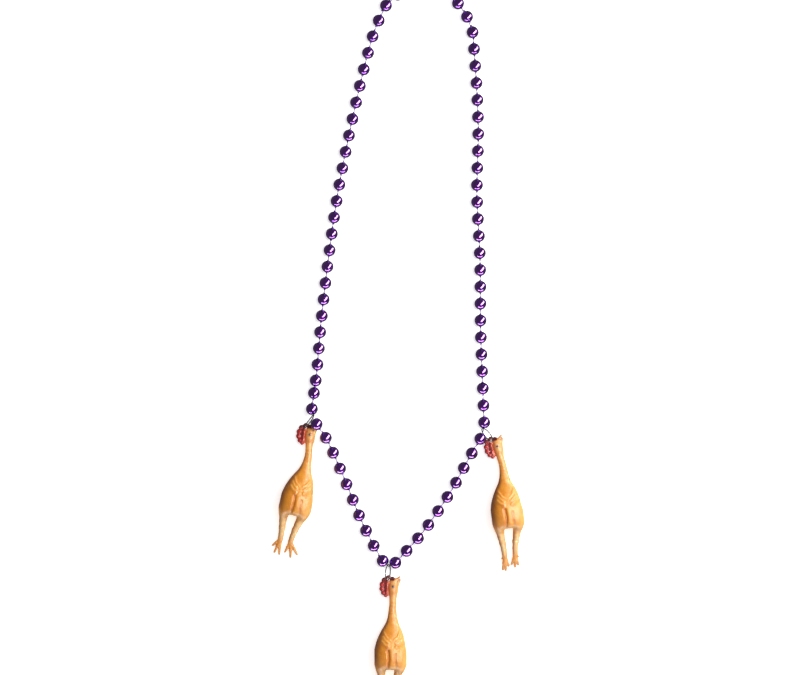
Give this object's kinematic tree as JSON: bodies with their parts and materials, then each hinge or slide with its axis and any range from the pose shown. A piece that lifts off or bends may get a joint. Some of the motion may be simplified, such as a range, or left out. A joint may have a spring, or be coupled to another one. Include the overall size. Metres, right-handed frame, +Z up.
{
  "type": "novelty bead necklace",
  "caption": "Metallic bead party necklace laid flat, with rubber-chicken charms hung from it on wire jump rings.",
  "frame": {"origin": "middle of the outline, on the table the necklace lies on", "axes": "+Z up from the table, +Y along the loop from the charms to its top, +X to the right when it is seen from above with the top of the loop away"},
  "size_m": [0.2063, 0.5984, 0.0205],
  "materials": {
    "bead": "metallised purple",
    "wire": "dark nickel",
    "rubber_head": "satin, with a painted red comb",
    "rubber": "satin"
  },
  "bodies": {
    "arch": {"strand_arch": "bead"},
    "band_1": {"strand_left_1": "bead", "strand_right_1": "bead"},
    "band_2": {"strand_left_2": "bead", "strand_right_2": "bead"},
    "band_3": {"strand_left_3": "bead", "strand_right_3": "bead"},
    "band_4": {"strand_left_4": "bead", "strand_right_4": "bead"},
    "band_5": {"strand_left_5": "bead", "strand_right_5": "bead"},
    "band_6": {"strand_left_6": "bead", "strand_right_6": "bead"},
    "band_7": {"strand_left_7": "bead", "strand_right_7": "bead"},
    "band_8": {"strand_left_8": "bead", "strand_right_8": "bead"},
    "tip": {"strand_tip": "bead"},
    "left_ring": {"left_ring": "wire"},
    "left_head": {"left_head": "rubber_head"},
    "left_torso": {"left_torso": "rubber"},
    "left_left_leg": {"left_left_leg": "rubber"},
    "left_right_leg": {"left_right_leg": "rubber"},
    "right_ring": {"right_ring": "wire"},
    "right_head": {"right_head": "rubber_head"},
    "right_torso": {"right_torso": "rubber"},
    "right_left_leg": {"right_left_leg": "rubber"},
    "right_right_leg": {"right_right_leg": "rubber"},
    "bottom_ring": {"bottom_ring": "wire"},
    "bottom_head": {"bottom_head": "rubber_head"},
    "bottom_torso": {"bottom_torso": "rubber"},
    "bottom_left_leg": {"bottom_left_leg": "rubber"},
    "bottom_right_leg": {"bottom_right_leg": "rubber"}
  },
  "joints": [
    {"name": "fold_1", "type": "hinge", "parent": "arch", "child": "band_1", "pos_m": [0.01805, 0.2361, 0.005], "axis": [-0.9994, -0.0335, 0], "range_deg": [-30, 30]},
    {"name": "fold_2", "type": "hinge", "parent": "band_1", "child": "band_2", "pos_m": [0.0133, 0.18085, 0.005], "axis": [-0.9999, -0.0143, 0], "range_deg": [-30, 30]},
    {"name": "fold_3", "type": "hinge", "parent": "band_2", "child": "band_3", "pos_m": [0.00755, 0.12585, 0.005], "axis": [-1, 0.0044, 0], "range_deg": [-30, 30]},
    {"name": "fold_4", "type": "hinge", "parent": "band_3", "child": "band_4", "pos_m": [0.0049, 0.07085, 0.005], "axis": [-0.9998, 0.02, 0], "range_deg": [-30, 30]},
    {"name": "fold_5", "type": "hinge", "parent": "band_4", "child": "band_5", "pos_m": [0.00205, 0.0161, 0.005], "axis": [-0.9995, 0.0304, 0], "range_deg": [-30, 30]},
    {"name": "fold_6", "type": "hinge", "parent": "band_5", "child": "band_6", "pos_m": [0.00105, -0.0249, 0.005], "axis": [-0.999, 0.0439, 0], "range_deg": [-30, 30]},
    {"name": "fold_7", "type": "hinge", "parent": "band_6", "child": "band_7", "pos_m": [0.00005, -0.05055, 0.0054], "axis": [-0.9971, 0.0759, 0.0057], "range_deg": [-30, 30]},
    {"name": "fold_8", "type": "hinge", "parent": "band_7", "child": "band_8", "pos_m": [-0.00055, -0.1129, 0.005], "axis": [-0.9925, 0.1223, 0], "range_deg": [-30, 30]},
    {"name": "fold_9", "type": "hinge", "parent": "band_8", "child": "tip", "pos_m": [-0.00445, -0.1493, 0.005], "axis": [-0.9898, 0.1423, 0], "range_deg": [-30, 30]},
    {"name": "left_ring_swing", "type": "hinge", "parent": "band_7", "child": "left_ring", "pos_m": [-0.0708, -0.0584, 0.0088], "axis": [-0.4283, 0.8897, -0.1582], "range_deg": [-5, 100]},
    {"name": "left_head_swing", "type": "hinge", "parent": "left_ring", "child": "left_head", "pos_m": [-0.0764, -0.0671, 0.0045], "axis": [0, 0, 1], "range_deg": [-35, 0]},
    {"name": "left_neck_bend", "type": "hinge", "parent": "left_head", "child": "left_torso", "pos_m": [-0.07429, -0.09249, 0.0062], "axis": [-0.9767, 0.2147, 0], "range_deg": [-30, 30], "stiffness_Nm_per_rad": 0.05},
    {"name": "left_left_leg_bend", "type": "hinge", "parent": "left_torso", "child": "left_left_leg", "pos_m": [-0.09443, -0.13936, 0.008], "axis": [-0.9767, 0.2147, 0], "range_deg": [-30, 30], "stiffness_Nm_per_rad": 0.004},
    {"name": "left_right_leg_bend", "type": "hinge", "parent": "left_torso", "child": "left_right_leg", "pos_m": [-0.08045, -0.14285, 0.008], "axis": [-0.9767, 0.2147, 0], "range_deg": [-30, 30], "stiffness_Nm_per_rad": 0.004},
    {"name": "right_ring_swing", "type": "hinge", "parent": "band_7", "child": "right_ring", "pos_m": [0.0701, -0.0699, 0.005], "axis": [-0.3916, -0.9158, 0.0898], "range_deg": [-100, 100]},
    {"name": "right_head_swing", "type": "hinge", "parent": "right_ring", "child": "right_head", "pos_m": [0.0764, -0.0783, 0.0045], "axis": [0, 0, 1], "range_deg": [-5, 35]},
    {"name": "right_neck_bend", "type": "hinge", "parent": "right_head", "child": "right_torso", "pos_m": [0.08654, -0.10168, 0.0062], "axis": [-0.9914, -0.1305, 0], "range_deg": [-30, 30], "stiffness_Nm_per_rad": 0.05},
    {"name": "right_left_leg_bend", "type": "hinge", "parent": "right_torso", "child": "right_left_leg", "pos_m": [0.08356, -0.1526, 0.008], "axis": [-0.9914, -0.1305, 0], "range_deg": [-30, 30], "stiffness_Nm_per_rad": 0.004},
    {"name": "right_right_leg_bend", "type": "hinge", "parent": "right_torso", "child": "right_right_leg", "pos_m": [0.09789, -0.15112, 0.008], "axis": [-0.9914, -0.1305, 0], "range_deg": [-30, 30], "stiffness_Nm_per_rad": 0.004},
    {"name": "bottom_ring_swing", "type": "hinge", "parent": "tip", "child": "bottom_ring", "pos_m": [-0.00775, -0.1827, 0.005], "axis": [-0.9493, 0.0593, -0.3087], "range_deg": [-30, 20]},
    {"name": "bottom_head_swing", "type": "hinge", "parent": "bottom_ring", "child": "bottom_head", "pos_m": [-0.0082, -0.1925, 0.0045], "axis": [0, 0, 1], "range_deg": [-35, 35]},
    {"name": "bottom_neck_bend", "type": "hinge", "parent": "bottom_head", "child": "bottom_torso", "pos_m": [-0.00468, -0.21774, 0.0062], "axis": [-1, 0, 0], "range_deg": [-30, 30], "stiffness_Nm_per_rad": 0.05},
    {"name": "bottom_left_leg_bend", "type": "hinge", "parent": "bottom_torso", "child": "bottom_left_leg", "pos_m": [-0.01428, -0.26784, 0.008], "axis": [-1, 0, 0], "range_deg": [-30, 30], "stiffness_Nm_per_rad": 0.004},
    {"name": "bottom_right_leg_bend", "type": "hinge", "parent": "bottom_torso", "child": "bottom_right_leg", "pos_m": [0.00012, -0.26824, 0.008], "axis": [-1, 0, 0], "range_deg": [-30, 30], "stiffness_Nm_per_rad": 0.004}
  ]
}
